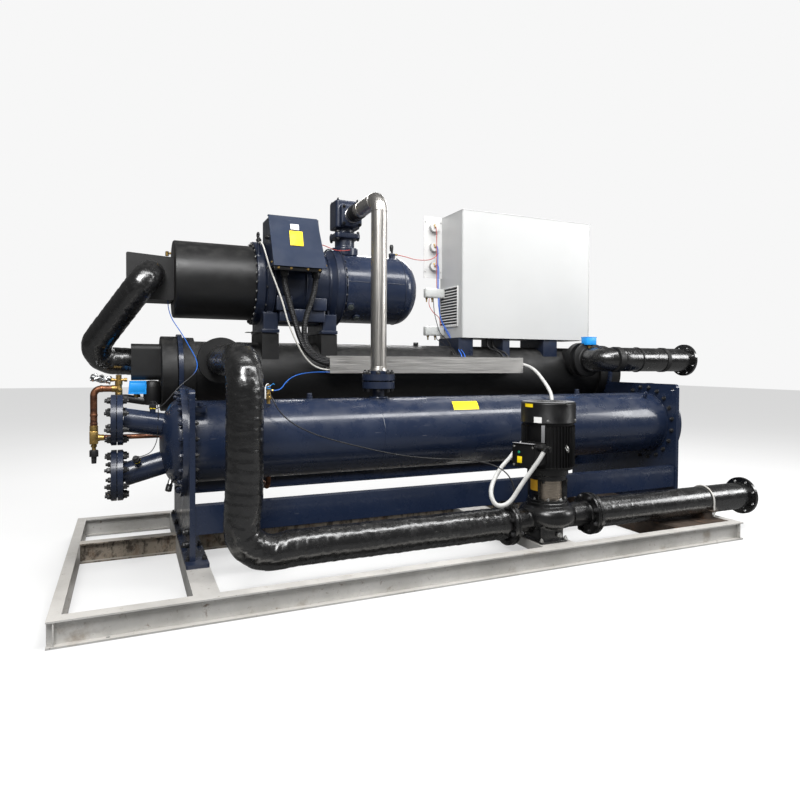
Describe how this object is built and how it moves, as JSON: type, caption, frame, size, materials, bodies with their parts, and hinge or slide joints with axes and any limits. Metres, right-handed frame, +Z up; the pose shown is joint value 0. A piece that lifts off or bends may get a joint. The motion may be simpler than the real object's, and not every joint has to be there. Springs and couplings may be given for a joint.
{
  "type": "water-cooled screw chiller with pump",
  "caption": "Screw chiller on a galvanised beam frame: shell condenser and insulated evaporator between end plates, compressor and cabinet on top, vertical circulating pump in front.",
  "frame": {"origin": "on the ground, in the middle of the base frame's footprint (the middle of its anchor holes)", "axes": "+Z up, -Y towards the side with the circulating pump (front), +X towards the drilled end flanges of the water pipes (right)"},
  "size_m": [5.01, 2.0192, 2.588],
  "materials": {
    "galvanised": "galvanised steel, dull, with rust stains",
    "navy": "glossy navy enamel",
    "insulation": "black foam insulation",
    "wrap": "black plastic tape wound over insulation, glossy",
    "casing_grey": "pale grey, satin",
    "steel": "bare stainless steel",
    "cabinet": "white powder coat",
    "brass": "cast brass, dull",
    "copper": "tarnished copper",
    "blue": "bright blue plastic",
    "black": "black gloss paint",
    "cable_black": "black cable sheath",
    "cable_white": "white wrapped cable",
    "cable_blue": "blue wire",
    "rusty": "brown, rusty"
  },
  "bodies": {
    "root": {"base_end_channels": "galvanised", "base_front_beam": "galvanised", "base_inner_beams": "galvanised", "base_rear_beam": "galvanised", "cabinet_supports": "navy", "cable_tray": "steel", "compressor_body": "navy", "compressor_motor_housing": "insulation", "compressor_saddles": "black", "compressor_terminal_box": "navy", "condenser_fitting": "brass", "condenser_head_left": "navy", "condenser_head_right": "navy", "condenser_nozzles": "navy", "condenser_shell": "navy", "control_cabinet": "cabinet", "cord_black_cabinet_left": "cable_black", "cord_black_cabinet_right": "cable_black", "cord_black_conduit_left": "cable_black", "cord_black_conduit_right": "cable_black", "cord_black_pump": "cable_black", "cord_blue_sensor": "cable_blue", "cord_blue_tray": "cable_blue", "cord_white_compressor": "cable_white", "cord_white_sleeve": "cable_white", "counter_flanges": "navy", "crossmember_left": "galvanised", "crossmember_pump": "galvanised", "deck_right": "rusty", "discharge_flanges": "navy", "discharge_pipe": "steel", "discharge_valve": "navy", "end_plate_left": "navy", "end_plate_right": "navy", "evaporator_head_left": "insulation", "evaporator_head_right": "insulation", "evaporator_inlet_pipe": "wrap", "evaporator_port_stubs": "insulation", "evaporator_shell": "insulation", "expansion_valve": "blue", "flow_switch": "blue", "gauge_panel": "casing_grey", "liquid_angle_valve": "brass", "liquid_line": "copper", "oil_separator": "navy", "pipe_support": "rusty", "pressure_switches": "casing_grey", "pump_adapter": "black", "pump_casing": "black", "pump_discharge_pipe": "wrap", "pump_motor": "black", "pump_suction_pipe": "wrap", "pump_terminal_box": "black", "shell_rails": "navy", "suction_box": "insulation", "suction_flange_block": "insulation", "suction_pipe": "wrap"}
  },
  "joints": []
}
